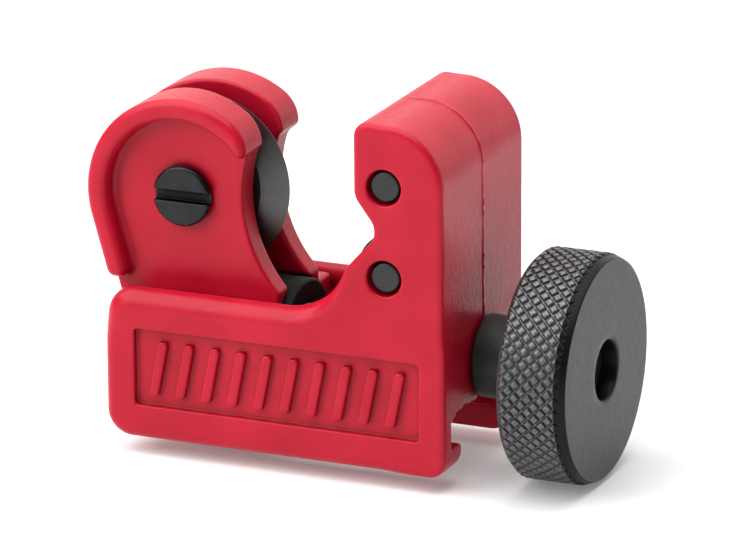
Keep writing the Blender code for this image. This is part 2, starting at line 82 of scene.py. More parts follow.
def rounded(corners, step=6.0):
    """Closed outline from (a, b, radius) corners."""
    out = []
    n = len(corners)
    for i in range(n):
        px, pz = corners[i - 1][0], corners[i - 1][1]
        x, z, r = corners[i]
        qx, qz = corners[(i + 1) % n][0], corners[(i + 1) % n][1]
        if r <= 0:
            out.append((x, z))
            continue
        ax, az, bx, bz = px - x, pz - z, qx - x, qz - z
        la, lb = hypot(ax, az), hypot(bx, bz)
        ax, az, bx, bz = ax / la, az / la, bx / lb, bz / lb
        half = atan2(abs(ax * bz - az * bx), ax * bx + az * bz) / 2.0
        t = r / tan(half)
        mx, mz = ax + bx, az + bz
        lm = hypot(mx, mz)
        cx, cz = x + mx / lm * r / sin(half), z + mz / lm * r / sin(half)
        a0 = atan2(z + az * t - cz, x + ax * t - cx)
        a1 = atan2(z + bz * t - cz, x + bx * t - cx)
        d = (a1 - a0 + pi) % (2 * pi) - pi
        k = max(3, int(abs(d) * 180 / pi / step + 0.5))
        for j in range(k + 1):
            a = a0 + d * j / k
            out.append((cx + r * cos(a), cz + r * sin(a)))
    return out


# ---- distance fields: negative inside, millimetres --------------------------------
def smax(a, b, k):
    """Larger of two distances, with the crease between them rounded over k."""
    if np.max(k) <= 0:
        return np.maximum(a, b)
    h = np.maximum(k - np.abs(a - b), 0.0) / k
    return np.maximum(a, b) + h * h * (k * 0.25)


def smin(a, b, k):
    return -smax(-a, -b, k)


def outline_field(points, xs, zs):
    """Signed distance to a closed outline on a grid of xs by zs."""
    P = np.array(points, float)
    Q = np.roll(P, -1, 0)
    X, Z = np.meshgrid(xs, zs, indexing="ij")
    best = np.full(X.shape, 1e9)
    inside = np.zeros(X.shape, bool)
    for (ax, az), (bx, bz) in zip(P, Q):
        ex, ez = bx - ax, bz - az
        n2 = ex * ex + ez * ez
        if n2 < 1e-12:
            continue
        wx, wz = X - ax, Z - az
        t = np.clip((wx * ex + wz * ez) / n2, 0, 1)
        best = np.minimum(best, (wx - ex * t) ** 2 + (wz - ez * t) ** 2)
        if abs(ez) > 1e-12:
            inside ^= ((az <= Z) != (bz <= Z)) & (X < ax + (Z - az) * ex / ez)
    return (np.sqrt(best) * np.where(inside, -1.0, 1.0)).astype(np.float32)


def slab(d, t, lo, hi, r=0.0):
    """A field pushed along t from lo to hi, with its rims rounded by r."""
    q = np.abs(t - (lo + hi) / 2.0) - (hi - lo) / 2.0
    if np.max(r) <= 0:
        return np.maximum(d, q)
    a, b = d + r, q + r
    return np.minimum(np.maximum(a, b), 0) + np.hypot(np.maximum(a, 0), np.maximum(b, 0)) - r


def box_field(x, y, z, x0, x1, y0, y1, z0, z1, r=0.0):
    q = [np.abs(v - (lo + hi) / 2.0) - (hi - lo) / 2.0 + r
         for v, lo, hi in ((x, x0, x1), (y, y0, y1), (z, z0, z1))]
    out = sum(np.maximum(v, 0) ** 2 for v in q)
    return np.sqrt(out) + np.minimum(np.maximum(np.maximum(q[0], q[1]), q[2]), 0) - r


def wobble(t, seed, scale=1.0, octaves=3):
    """Smooth irregular line through t, about -1 to 1."""
    out = np.zeros_like(t)
    for k in range(octaves):
        f = scale * 2.1 ** k
        out = out + (np.sin(t * f + seed * 1.7 + k * 2.3) * np.sin(t * f * 0.61 + seed * 3.1 + k)) / 1.6 ** k
    return out


def skin(F, origin, h):
    """Quads over the zero surface of a field sampled on a grid (surface nets)."""
    S = F < 0
    n = F.shape
    count = np.zeros([s - 1 for s in n], np.uint8)
    corners = [(i, j, k) for i in (0, 1) for j in (0, 1) for k in (0, 1)]
    for i, j, k in corners:
        count += S[i:n[0] - 1 + i, j:n[1] - 1 + j, k:n[2] - 1 + k]
    live = (count > 0) & (count < 8)
    cell = np.argwhere(live)
    number = np.full(live.shape, -1, np.int32)
    number[live] = np.arange(len(cell))
    total = np.zeros((len(cell), 3))
    hits = np.zeros(len(cell))
    value = {c: F[cell[:, 0] + c[0], cell[:, 1] + c[1], cell[:, 2] + c[2]].astype(float) for c in corners}
    for a in corners:
        for axis in range(3):
            if a[axis]:
                continue
            b = tuple(1 if q == axis else a[q] for q in range(3))
            fa, fb = value[a], value[b]
            m = (fa < 0) != (fb < 0)
            t = fa[m] / (fa[m] - fb[m])
            p = np.tile(np.array(a, float), (m.sum(), 1))
            p[:, axis] += t
            total[m] += p
            hits[m] += 1
    verts = (total / hits[:, None] + cell) * h + np.array(origin)
    faces = []
    for axis in range(3):
        u, v = [q for q in range(3) if q != axis]
        lo = [slice(0, n[q] - 1) if q == axis else slice(1, n[q] - 1) for q in range(3)]
        hi = [slice(1, n[q]) if q == axis else slice(1, n[q] - 1) for q in range(3)]
        A, B = S[tuple(lo)], S[tuple(hi)]
        g = np.argwhere(A != B)
        flip = A[tuple(g.T)]
        for q in range(3):
            if q != axis:
                g[:, q] += 1
        around = []
        for du, dv in ((-1, -1), (0, -1), (0, 0), (-1, 0)):
            c = g.copy()
            c[:, u] += du
            c[:, v] += dv
            around.append(number[tuple(c.T)])
        quad = np.stack(around, 1)
        if axis == 1:
            flip = ~flip
        quad[~flip] = quad[~flip][:, ::-1]
        faces.append(quad)
    return verts, np.concatenate(faces)


def relax(verts, faces, rounds, amount=0.5):
    """Evens out a mesh by drawing each point towards its neighbours."""
    a = faces.reshape(-1)
    b = np.roll(faces, -1, 1).reshape(-1)
    deg = np.bincount(a, minlength=len(verts)) + np.bincount(b, minlength=len(verts))
    for _ in range(rounds):
        acc = np.zeros_like(verts)
        for q in range(3):
            acc[:, q] = np.bincount(a, verts[b, q], len(verts)) + np.bincount(b, verts[a, q], len(verts))
        verts = verts + (acc / deg[:, None] - verts) * amount
    return verts


# ---- mesh objects ---------------------------------------------------------------
def mesh_piece(name, verts_mm, faces, sharp=None):
    """Object from drawing millimetres, in row-frame metres, outward facing."""
    v = (np.array(verts_mm, float) - np.array([MID_X, 0.0, BASE_Z])) * 0.001
    mesh = bpy.data.meshes.new(name)
    faces = [list(map(int, f)) for f in faces] if not isinstance(faces, np.ndarray) else faces
    if isinstance(faces, np.ndarray):
        mesh.vertices.add(len(v))
        mesh.vertices.foreach_set("co", v.astype(np.float32).reshape(-1))
        mesh.loops.add(faces.size)
        mesh.loops.foreach_set("vertex_index", faces.astype(np.int32).reshape(-1))
        mesh.polygons.add(len(faces))
        mesh.polygons.foreach_set("loop_start", np.arange(0, faces.size, faces.shape[1], dtype=np.int32))
        mesh.update(calc_edges=True)
        mesh.validate()
    else:
        mesh.from_pydata([tuple(p) for p in v], [], faces)
        mesh.update()
    volume = 0.0
    co = np.empty(len(mesh.vertices) * 3)
    mesh.vertices.foreach_get("co", co)
    co = co.reshape(-1, 3)
    mesh.calc_loop_triangles()
    tri = np.empty(len(mesh.loop_triangles) * 3, np.int32)
    mesh.loop_triangles.foreach_get("vertices", tri)
    tri = tri.reshape(-1, 3)
    volume = np.einsum("ij,ij->i", co[tri[:, 0]], np.cross(co[tri[:, 1]], co[tri[:, 2]])).sum()
    if volume < 0:
        mesh.flip_normals()
    mesh.polygons.foreach_set("use_smooth", [True] * len(mesh.polygons))
    if sharp is not None:
        mesh.set_sharp_from_angle(angle=radians(sharp))
    ob = bpy.data.objects.new(name, mesh)
    bpy.context.scene.collection.objects.link(ob)
    return ob


def lathe(name, profile, along, centre, steps=128, closed=False, shape=None, sharp=40):
    """Round piece from (radius, height) points. shape(r, h, angle) may change the radius."""
    pr = [p for i, p in enumerate(profile) if i == 0 or hypot(p[0] - profile[i - 1][0], p[1] - profile[i - 1][1]) > 1e-6]
    R = np.array([p[0] for p in pr])
    H = np.array([p[1] for p in pr])
    T = np.arange(steps) * 2 * pi / steps
    rr = np.repeat(R[:, None], steps, 1)
    if shape is not None:
        rr = shape(rr, np.repeat(H[:, None], steps, 1), np.repeat(T[None, :], len(pr), 0))
    verts, rows = [], []
    for i in range(len(pr)):
        if R[i] < 1e-6:
            rows.append([len(verts)] * steps)
            verts.append((0.0, 0.0, H[i]))
        else:
            rows.append(list(range(len(verts), len(verts) + steps)))
            verts.extend(zip(rr[i] * np.cos(T), rr[i] * np.sin(T), [H[i]] * steps))
    faces = []
    pairs = [(i, i + 1) for i in range(len(pr) - 1)] + ([(len(pr) - 1, 0)] if closed else [])
    for i, j in pairs:
        a, b = rows[i], rows[j]
        for k in range(steps):
            q = [a[k], a[(k + 1) % steps], b[(k + 1) % steps], b[k]]
            f = [q[0]] + [q[m] for m in (1, 2, 3) if q[m] != q[m - 1] and q[m] != q[0]]
            if len(f) > 2:
                faces.append(f)
    v = np.array(verts)
    cx, cy, cz = centre
    if along == "X":
        w = np.stack([cx + v[:, 2], cy + v[:, 0], cz + v[:, 1]], 1)
    else:
        w = np.stack([cx + v[:, 0], cy + v[:, 2], cz + v[:, 1]], 1)
    return mesh_piece(name, w, faces, sharp)


# ---- node materials ----------------------------------------------------------------
class Look:
    def __init__(self, name):
        self.mat = bpy.data.materials.new(name)
        self.mat.use_nodes = True
        self.t = self.mat.node_tree
        self.s = self.t.nodes["Principled BSDF"]
        tc = self.t.nodes.new("ShaderNodeTexCoord")
        m = self.t.nodes.new("ShaderNodeMapping")
        m.inputs["Scale"].default_value = (1000, 1000, 1000)
        self.t.links.new(tc.outputs["Object"], m.inputs["Vector"])
        self.mm = m.outputs["Vector"]

    def link(self, a, b):
        self.t.links.new(a, b)

    def set(self, **kw):
        for k, v in kw.items():
            self.s.inputs[k.replace("_", " ")].default_value = v

    def noise(self, scale, detail=3.0, rough=0.5, stretch=None, vec=None):
        vec = vec or self.mm
        if stretch:
            m = self.t.nodes.new("ShaderNodeMapping")
            m.inputs["Scale"].default_value = stretch
            self.link(vec, m.inputs["Vector"])
            vec = m.outputs["Vector"]
        n = self.t.nodes.new("ShaderNodeTexNoise")
        n.inputs["Scale"].default_value = scale
        n.inputs["Detail"].default_value = detail
        n.inputs["Roughness"].default_value = rough
        self.link(vec, n.inputs["Vector"])
        return n.outputs["Fac"]

    def math(self, op, a, b=None, c=None, clamp=False):
        n = self.t.nodes.new("ShaderNodeMath")
        n.operation = op
        n.use_clamp = clamp
        for i, v in enumerate((a, b, c)):
            if v is None:
                continue
            if isinstance(v, (int, float)):
                n.inputs[i].default_value = v
            else:
                self.link(v, n.inputs[i])
        return n.outputs[0]

    def span(self, v, a, b, lo=0.0, hi=1.0):
        n = self.t.nodes.new("ShaderNodeMapRange")
        n.inputs["From Min"].default_value = a
        n.inputs["From Max"].default_value = b
        n.inputs["To Min"].default_value = lo
        n.inputs["To Max"].default_value = hi
        self.link(v, n.inputs["Value"])
        return n.outputs["Result"]

    def mix(self, f, a, b):
        n = self.t.nodes.new("ShaderNodeMix")
        n.data_type = "RGBA"
        if isinstance(f, (int, float)):
            n.inputs["Factor"].default_value = f
        else:
            self.link(f, n.inputs["Factor"])
        for v, key in ((a, 6), (b, 7)):
            if isinstance(v, tuple):
                n.inputs[key].default_value = tuple(v) + (1.0,)
            else:
                self.link(v, n.inputs[key])
        return n.outputs[2]

    def xyz(self, vec=None):
        n = self.t.nodes.new("ShaderNodeSeparateXYZ")
        self.link(vec or self.mm, n.inputs[0])
        return n.outputs

    def bump(self, heights):
        """heights: (output, depth in mm) pairs, from coarse to fine."""
        last = None
        for out, depth in heights:
            b = self.t.nodes.new("ShaderNodeBump")
            b.inputs["Strength"].default_value = 1.0
            b.inputs["Distance"].default_value = depth * 0.001
            self.link(out, b.inputs["Height"])
            if last is not None:
                self.link(last, b.inputs["Normal"])
            last = b.outputs["Normal"]
        self.link(last, self.s.inputs["Normal"])

    def hollow(self, reach):
        """1 in the open, lower in creases and pockets, looking reach mm around."""
        n = self.t.nodes.new("ShaderNodeAmbientOcclusion")
        n.samples = 8
        n.inputs["Distance"].default_value = reach * 0.001
        return n.outputs["AO"]

    def pointiness(self):
        return self.t.nodes.new("ShaderNodeNewGeometry").outputs["Pointiness"]

    def normal(self):
        return self.xyz(self.t.nodes.new("ShaderNodeNewGeometry").outputs["Normal"])


def red_lacquer(name, reach=1.2, shade_red=(0.21, 0.0004, 0.005), base=(0.405, 0.003, 0.018), light=(0.465, 0.006, 0.026), end_texture=True):
    L = Look(name)
    cloud = L.noise(0.18, 3)
    peel = L.noise(1.15, 2.0, 0.45)
    grain = L.noise(3.0, 3.0, 0.55)
    col = L.mix(L.span(cloud, 0.35, 0.65), base, light)
    p = L.pointiness()
    # Painted shade: the red is darkened in creases, pockets and concave bends, by ambient occlusion and by pointiness.
    col = L.mix(L.span(L.hollow(reach), 0.86, 0.42, 0.0, 0.85), col, shade_red)
    col = L.mix(L.span(p, 0.495, 0.43), col, shade_red)
    specks = L.noise(5.5, 1.0, 0.5)
    col = L.mix(L.span(specks, 0.76, 0.80, 0.0, 0.35), col, (0.30, 0.002, 0.01))
    L.link(col, L.s.inputs["Base Color"])
    rough = L.math("ADD", L.span(peel, 0.3, 0.7, 0.30, 0.37), L.span(grain, 0.35, 0.65, -0.02, 0.03))
    L.link(rough, L.s.inputs["Roughness"])
    L.set(Coat_Weight=0.03, Coat_Roughness=0.2, Specular_IOR_Level=0.20)
    heights = [(peel, 0.011), (grain, 0.012)]
    if end_texture:
        n = L.normal()
        facing = L.span(n[0], 0.55, 0.95)
        streak = L.noise(2.3, 3.0, 0.6, stretch=(1.0, 0.75, 0.9))
        low = L.span(L.xyz()[2], 29.0, 17.0, 0.25, 1.0)
        heights.append((L.math("MULTIPLY", L.math("MULTIPLY", streak, facing), low), 0.055))
    L.bump(heights)
    return L.mat


def black_steel(name, tone=0.05, tint=(1.0, 1.02, 1.01), rough=0.36, metal=0.85, grain=2.4, depth=0.004, worn=0.10,
                stretch=None, wear=0.5, shade_slots=False, spec=0.5):
    L = Look(name)
    cloud = L.noise(0.5, 3)
    fine = L.noise(grain, 4.0, 0.6, stretch=stretch)
    a = tuple(tone * t * 0.78 for t in tint)
    b = tuple(tone * t * 1.22 for t in tint)
    col = L.mix(L.span(cloud, 0.3, 0.7), a, b)
    col = L.mix(L.span(fine, 0.62, 0.8, 0.0, 0.35), col, tuple(tone * 1.7 * t for t in tint))
    p = L.pointiness()
    edge = L.math("MULTIPLY", L.span(p, 0.53, 0.60), L.span(fine, 0.35, 0.6, 0.3, 1.0))
    col = L.mix(L.math("MULTIPLY", edge, wear), col, (worn, worn, worn))
    # Painted shade: slots and pockets are darkened and their reflection is dimmed, by ambient occlusion.
    if shade_slots:
        col = L.mix(L.span(L.hollow(1.3), 0.90, 0.62, 0.0, 0.95), col, (tone * 0.10,) * 3)
        L.link(L.span(L.hollow(1.3), 0.60, 0.90, 0.04, spec), L.s.inputs["Specular IOR Level"])
    L.link(col, L.s.inputs["Base Color"])
    L.link(L.math("ADD", L.span(fine, 0.3, 0.7, rough - 0.05, rough + 0.06), L.span(cloud, 0.3, 0.7, -0.03, 0.03)),
           L.s.inputs["Roughness"])
    L.set(Metallic=metal, Specular_IOR_Level=spec)
    L.bump([(fine, depth)])
    return L.mat


def turned_steel(name, tone, along, centre, ring=14.0, depth=0.003, rough=0.42, metal=0.9, tint=(1.0, 0.99, 1.01)):
    """Steel with faint rings round an axis, from facing it in a lathe."""
    L = Look(name)
    o = L.xyz()
    cx, cz = (centre[0] - MID_X), (centre[1] - BASE_Z)
    if along == "X":
        u, v = o[1], L.math("SUBTRACT", o[2], cz)
    else:
        u, v = L.math("SUBTRACT", o[0], cx), L.math("SUBTRACT", o[2], cz)
    r = L.math("SQRT", L.math("ADD", L.math("MULTIPLY", u, u), L.math("MULTIPLY", v, v)))
    n = L.t.nodes.new("ShaderNodeTexNoise")
    n.noise_dimensions = "1D"
    n.inputs["Scale"].default_value = ring
    n.inputs["Detail"].default_value = 3.0
    L.link(r, n.inputs["W"])
    rings = n.outputs["Fac"]
    cloud = L.noise(0.45, 4, 0.6)
    smear = L.noise(1.6, 4, 0.65, stretch=(1.0, 0.6, 1.5))
    col = L.mix(L.span(cloud, 0.3, 0.7), tuple(tone * t * 0.88 for t in tint), tuple(tone * t * 1.10 for t in tint))
    col = L.mix(L.span(smear, 0.56, 0.75, 0.0, 0.35), col, tuple(tone * t * 1.35 for t in tint))
    p = L.pointiness()
    col = L.mix(L.math("MULTIPLY", L.span(p, 0.53, 0.6), 0.4), col, (tone * 2.0,) * 3)
    L.link(col, L.s.inputs["Base Color"])
    L.link(L.math("ADD", L.span(rings, 0.3, 0.7, rough - 0.03, rough + 0.04), L.span(smear, 0.3, 0.7, -0.04, 0.05)),
           L.s.inputs["Roughness"])
    L.set(Metallic=metal)
    L.bump([(rings, depth), (smear, depth)])
    return L.mat


def dress(ob, mat, body, node):
    ob.data.materials.clear()
    ob.data.materials.append(mat)
    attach(ob, body)
    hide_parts(node)
    return ob


def cast(name, field, lo, hi, rounds=2):
    """Samples field(x, y, z) over a box, in mm, and skins it."""
    axes = [np.arange(lo[i] - 2.5 * GRID, hi[i] + 2.5 * GRID, GRID) for i in range(3)]
    F = field(axes[0], axes[1], axes[2])
    v, f = skin(F, [a[0] for a in axes], GRID)
    v = relax(v, f, rounds)
    return mesh_piece(name, v, f)


# ---- body casting -----------------------------------------------------------------
def body_field(xs, ys, zs):
    x, y, z = (xs[:, None, None].astype(np.float32), ys[None, :, None].astype(np.float32),
               zs[None, None, :].astype(np.float32))

    def plate(points):
        return outline_field(points, xs, zs)[:, None, :]

    def side(wall_top):
        sweep = arc(18.5, wall_top + SWEEP_R, SWEEP_R, -22.0, -90.0, 24)
        return plate(rounded([
            (0.0, 0.0, 2.6), (BODY_L, 0.0, 1.7), (BODY_L, BODY_TOP, 6.0), (TOWER_X, BODY_TOP, 1.5),
            (TOWER_X, 26.81, 2.0), (28.45, 23.34, 1.87), (25.11, 19.53, 1.7), (sweep[0][0], sweep[0][1], 0.0),
        ] + [(a, b, 0.0) for a, b in sweep[1:]] + [(0.0, wall_top, 2.9)], 2.0))

    outer = np.where(y < 0.0, side(WALL_TOP), side(WALL_TOP_BACK))
    # The mould's parting line: a thin ragged ridge over the tower's top and end face, and a slight
    # step between its two halves.
    line = 0.12 * wobble(zs * 1.0 + xs[:, None] * 0.9, 2.0, 0.5)[:, None, :]
    rag = (0.75 + 0.35 * wobble(zs * 1.3 + xs[:, None] * 1.1, 5.0, 2.3))[:, None, :]
    mask = (1 / (1 + np.exp(-(x - 27.5) * 2.2))) * (1 / (1 + np.exp(-(z - 13.2) * 3.0)))
    near = y - line
    step = 0.05 / (1 + np.exp(-near / 0.05)) - 0.05
    ridge = (0.16 * rag * np.exp(-(near / 0.10) ** 2) - 0.14 + step) * mask

    # the front wall's top is nearly round, while the tower's rims and the back wall are tight
    def ease(t, lo, hi):
        t = np.clip((t - lo) / (hi - lo), 0, 1)
        return t * t * (3 - 2 * t)
    soft_top = ease(z, 9.0, 13.0) * (1 - ease(x + 1.2 * np.maximum(z - WALL_TOP, 0), 20.5, 28.5))
    tight = np.maximum(ease(x, 27.5, 32.5), ease(z, 15.5, 19.5))
    edge_r = EDGE_R - 0.55 * tight + np.where(y < 0.0, 0.65, -0.35) * soft_top * (1 - tight)
    d = slab(outer - ridge.astype(np.float32), y, -BODY_T / 2, BODY_T / 2, edge_r.astype(np.float32))

    # hollow between the side walls, with the roller pocket up the tower
    hollow = slab(plate(rounded([
        (-3.0, LIP_TOP, 0.0), (END_IN, LIP_TOP, 0.0), (END_IN, 15.0, 0.6), (POCKET_BACK, 15.0, 0.0),
        (POCKET_BACK, POCKET_TOP, 4.0), (8.0, POCKET_TOP, 0.0), (8.0, 42.0, 0.0), (-3.0, 42.0, 0.0)])),
        y, -WALL_IN, WALL_IN, 0.45)
    d = smax(d, -hollow, (0.35 + np.where(y > 0.0, 1.25, 0.0) * soft_top).astype(np.float32))
    d = smax(d, -box_field(x, y, z, -3.0, BODY_L + 3.0, -LIP_IN, LIP_IN, -3.0, LIP_TOP + 1.0, 0.3), 0.35)
    # the end wall's ragged lower edge, and the lug round the screw hole below it
    edge = END_LOW + 0.16 * wobble(ys, 1.0, 1.1)[None, :, None] + 0.14 * wobble(ys, 4.0, 3.7)[None, :, None]
    edge = edge - 0.9 * np.clip((np.abs(y) - 6.6) / 1.4, 0, 1)
    under = np.maximum(np.maximum(np.abs(y) - WALL_IN, END_IN - 1.0 - x), np.maximum(z - edge, LIP_TOP - 0.5 - z))
    axis = np.hypot(y, z - AXIS_Z)
    lug = np.maximum(axis - BOSS_R, np.maximum(END_IN + 0.15 - x, x - BODY_L + 1.25))
    d = smin(smax(d, -under, 0.25), lug, 0.35)
    d = smax(d, -np.maximum(axis - WALL_HOLE, np.abs(x - (END_IN + BODY_L) / 2) - 4.0), 0.2)
    for pz in PIN_Z:
        r = np.hypot(x - PIN_X, z - pz)
        d = smax(d, -(r - PIN_HOLE_R), 0.12)
        d = smax(d, -np.maximum(r - PIN_SINK_R, BODY_T / 2 - PIN_SINK_D - np.abs(y)), 0.22)
    # recessed side panels with slanted grip ribs
    px0, px1, pz0, pz1 = PANEL
    panel = plate(rounded([(px0, pz0, 0.45), (px1, pz0, 0.45), (px1, pz1, 0.45), (px0, pz1, 0.45)]))
    d = smax(d, -np.maximum(panel, BODY_T / 2 - PANEL_D - np.abs(y)), 0.12)
    span = (px1 - px0 - 5.0) / (RIB_COUNT - 1)
    ribs = None
    for i in range(RIB_COUNT):
        cx = px0 + 2.5 + span * i
        z0, z1, lean = pz0 + 1.1, pz1 - 1.1, 0.55
        one = outline_field(rounded([(cx - lean - RIB_W / 2, z0, 0.35), (cx - lean + RIB_W / 2, z0, 0.35),
                                     (cx + lean + RIB_W / 2, z1, 0.35), (cx + lean - RIB_W / 2, z1, 0.35)]), xs, zs)
        ribs = one if ribs is None else np.minimum(ribs, one)
    top = np.abs(y) - (BODY_T / 2 - 0.02)
    bars = smax(ribs[:, None, :], np.maximum(top, BODY_T / 2 - 1.2 - np.abs(y)), 0.16)
    return smin(d, bars, 0.12).astype(np.float32)


# ---- arm casting -------------------------------------------------------------------
def tangent(r, deg):
    return WHEEL_X + r * cos(radians(deg)), WHEEL_Z + r * sin(radians(deg))


leg_dir = (sin(radians(LEG_ANGLE - 180.0)), -cos(radians(LEG_ANGLE - 180.0)))


def down_leg(r, z):
    x0, z0 = tangent(r, LEG_ANGLE)
    return x0 + leg_dir[0] * (z - z0) / leg_dir[1], z


def arm_field(xs, ys, zs):
    x, y, z = (xs[:, None, None].astype(np.float32), ys[None, :, None].astype(np.float32),
               zs[None, None, :].astype(np.float32))

    def plate(points):
        return outline_field(points, xs, zs)[:, None, :]

    tip_x = TOWER_X - 16.25
    tip_ang = degrees(atan2(sqrt((HEAD_OUT_R - TIP_R) ** 2 - (tip_x - WHEEL_X) ** 2), tip_x - WHEEL_X))
    tip_z = WHEEL_Z + (HEAD_OUT_R - TIP_R) * sin(radians(tip_ang))
    head_top = arc(WHEEL_X, WHEEL_Z, HEAD_OUT_R - 0.01, LEG_ANGLE, tip_ang, 90)
    head_tip = arc(tip_x, tip_z, TIP_R, tip_ang, 0.0, 16)
    hi_a = 180.0 - degrees(atan2(28.0 - CRADLE_Z, sqrt(CRADLE_R ** 2 - (28.0 - CRADLE_Z) ** 2)))
    lo_a = 180.0 + degrees(atan2(CRADLE_Z - TOE_Z, sqrt(CRADLE_R ** 2 - (CRADLE_Z - TOE_Z) ** 2)))
    web = plate([down_leg(HEAD_OUT_R, 11.0)] + head_top + head_tip
                + arc(CRADLE_X, CRADLE_Z, CRADLE_R, hi_a, lo_a, 40) + [(TOE_X, TOE_Z - 0.4), (TOE_X, 11.0)])
    d = slab(web, y, -WEB_Y, WEB_Y, 0.35)
    leg_z = 14.75
    rim_end = rounded([(tip_x + TIP_R, 30.0, 0.0), (tip_x + TIP_R, 27.9, 0.5),
                       tangent(RIM_IN_R, 36.0) + (0.45,), tangent(RIM_IN_R, 44.0) + (0.0,)], 10.0)[1:-1]
    rim_foot = rounded([down_leg(RIM_IN_R, 18.0) + (0.0,), down_leg(RIM_IN_R, leg_z) + (0.75,),
                        down_leg(HEAD_OUT_R, leg_z) + (0.9,), down_leg(HEAD_OUT_R, 18.0) + (0.0,)], 10.0)[1:-1]
    rim = slab(plate(head_top + head_tip + rim_end + arc(WHEEL_X, WHEEL_Z, RIM_IN_R, 42.0, LEG_ANGLE, 50) + rim_foot),
               y, -RIM_Y, RIM_Y, 0.8)
    d = np.maximum(smin(d, rim, 0.5), slab(web, y, -RIM_Y, RIM_Y, 0.8))
    foot = box_field(x, y, z, FOOT[0], FOOT[1], -FOOT_Y, FOOT_Y, FOOT[2], FOOT[3], 0.5)
    d = np.maximum(smin(d, foot, 0.5), x - TOE_X)
    # wheel slot, wider towards the cradle
    r = np.hypot(x - WHEEL_X, z - WHEEL_Z)
    half = SLOT_HALF_L + np.clip(x, 0.0, 30.0) * (SLOT_HALF_R - SLOT_HALF_L) / 13.3
    open_way = np.where((x > WHEEL_X) | (z > WHEEL_Z),
                        np.where(x > WHEEL_X, np.maximum(WHEEL_Z - SLOT_R - z, 0.6 - x),
                                 np.maximum(r - SLOT_R, 0.6 - x)), r - SLOT_R)
    up = np.where((z > WHEEL_Z) & (x <= WHEEL_X), 0.6 - x, open_way)
    d = smax(d, -np.maximum(up, np.abs(y) - half), 0.35)
    axis = np.hypot(y, z - AXIS_Z)
    d = smax(d, -np.maximum(axis - NUT_R - 0.2, NUT_X[0] - 0.2 - x), 0.2)
    d = smax(d, -(axis - WALL_HOLE), 0.2)
    d = smax(d, -(r - AXLE_HOLE), 0.15)
    return d.astype(np.float32)


red_body = red_lacquer("red_lacquer_body")
red_arm = red_lacquer("red_lacquer_arm", reach=1.7, base=(0.415, 0.003, 0.019))
body = dress(cast("cast_body", body_field, (-0.2, -10.2, -0.2), (35.6, 10.2, 34.4)), red_body,
             "body", "body_casting")
arm = dress(cast("cast_arm", arm_field, (-3.6, -8.0, 2.4), (16.5, 8.0, 33.4)), red_arm,
            "arm", "arm_casting")


# ---- turned pieces -------------------------------------------------------------------
def soft(points, step=15.0):
    """Open profile with rounded corners."""
    return rounded([points[0]] + points[1:-1] + [points[-1]], step)


wheel_mat = turned_steel("black_oxide_wheel", 0.075, "Y", (WHEEL_X, WHEEL_Z), ring=6.0, depth=0.004, rough=0.34)
dress(lathe("cutting_wheel_fine", rounded([
    (WHEEL_BORE, WHEEL_HALF, 0.1), (WHEEL_FLAT_R, WHEEL_HALF, 0.3), (WHEEL_R, 0.03, 0.0), (WHEEL_R, -0.03, 0.0),
    (WHEEL_FLAT_R, -WHEEL_HALF, 0.3), (WHEEL_BORE, -WHEEL_HALF, 0.1)]), "Y", (WHEEL_X, 0, WHEEL_Z), 256, True, sharp=50),
    wheel_mat, "wheel", "cutting_wheel")

roller_mat = black_steel("ground_roller", 0.07, rough=0.3, stretch=(1.0, 0.15, 1.0))
pin_mat = turned_steel("black_pin", 0.044, "Y", (PIN_X, PIN_Z[0]), ring=4.0, rough=0.40, depth=0.003, tint=(0.97, 1.02, 1.0))
for label, pz in zip(("lower", "upper"), PIN_Z):
    dress(lathe("roller_%s_fine" % label, rounded([
        (ROLLER_BORE, ROLLER_HALF, 0.08), (ROLLER_R, ROLLER_HALF, 0.35), (ROLLER_R, -ROLLER_HALF, 0.35),
        (ROLLER_BORE, -ROLLER_HALF, 0.08)]), "Y", (PIN_X, 0, pz), 128, True), roller_mat,
        label + "_roller", "roller_" + label)
    dress(lathe("pin_%s_fine" % label, rounded([
        (0, PIN_HALF, 0.0), (PIN_R, PIN_HALF, 0.28), (PIN_R, -PIN_HALF, 0.28), (0, -PIN_HALF, 0.0)])[:-1] + [(0, -PIN_HALF)],
        "Y", (PIN_X, 0, pz), 96), pin_mat, "body", "roller_pin_" + label)

# ---- axle screw: slotted pan head on the front ------------------------------------------
head_lo = -(WEB_Y + 0.12)
head_hi = head_lo - HEAD_H


def axle_field(xs, ys, zs):
    x, y, z = (xs[:, None, None], ys[None, :, None], zs[None, None, :])
    r = np.hypot(x - WHEEL_X, z - WHEEL_Z)
    head = slab(r - HEAD_R, y, head_hi, head_lo, 0.34)
    shank = slab(r - AXLE_R, y, head_lo - 0.5, 6.0, 0.3)
    d = np.minimum(head, shank)
    groove = box_field(x, y, z, WHEEL_X - 5, WHEEL_X + 5, head_hi - 2, head_hi + 0.72,
                       WHEEL_Z - HEAD_SLOT / 2, WHEEL_Z + HEAD_SLOT / 2, 0.12)
    return smax(d, -groove, 0.14)


keep, GRID = GRID, 0.07
dress(cast("axle_screw_fine", axle_field, (WHEEL_X - 3, head_hi - 0.1, WHEEL_Z - 3), (WHEEL_X + 3, 6.1, WHEEL_Z + 3), 1),
      black_steel("black_axle", 0.021, rough=0.30, grain=3.0, depth=0.003, worn=0.12, tint=(0.95, 1.0, 1.03), shade_slots=True),
      "arm", "axle_screw")
GRID = keep


# ---- feed screw with its thread, nut, collar, knob ----------------------------------------
def thread(rr, hh, tt):
    """60 degree thread with rounded crests between the screw's tip and its groove."""
    x = hh
    t = ((x - PITCH * tt / (2 * pi)) / PITCH) % 1.0
    tooth = np.clip(1.0 - np.abs(t - 0.5) * 2.3, 0.0, 0.86) / 0.86
    on = np.clip((x - SCREW_X[0] - 0.5) / 0.7, 0, 1) * np.clip((29.6 - x) / 0.8, 0, 1)
    out = rr - 0.52 * (1.0 - tooth) * on
    return np.where((x > SCREW_X[0] + 0.3) & (x < 30.2) & (rr > 1.0), out, rr)


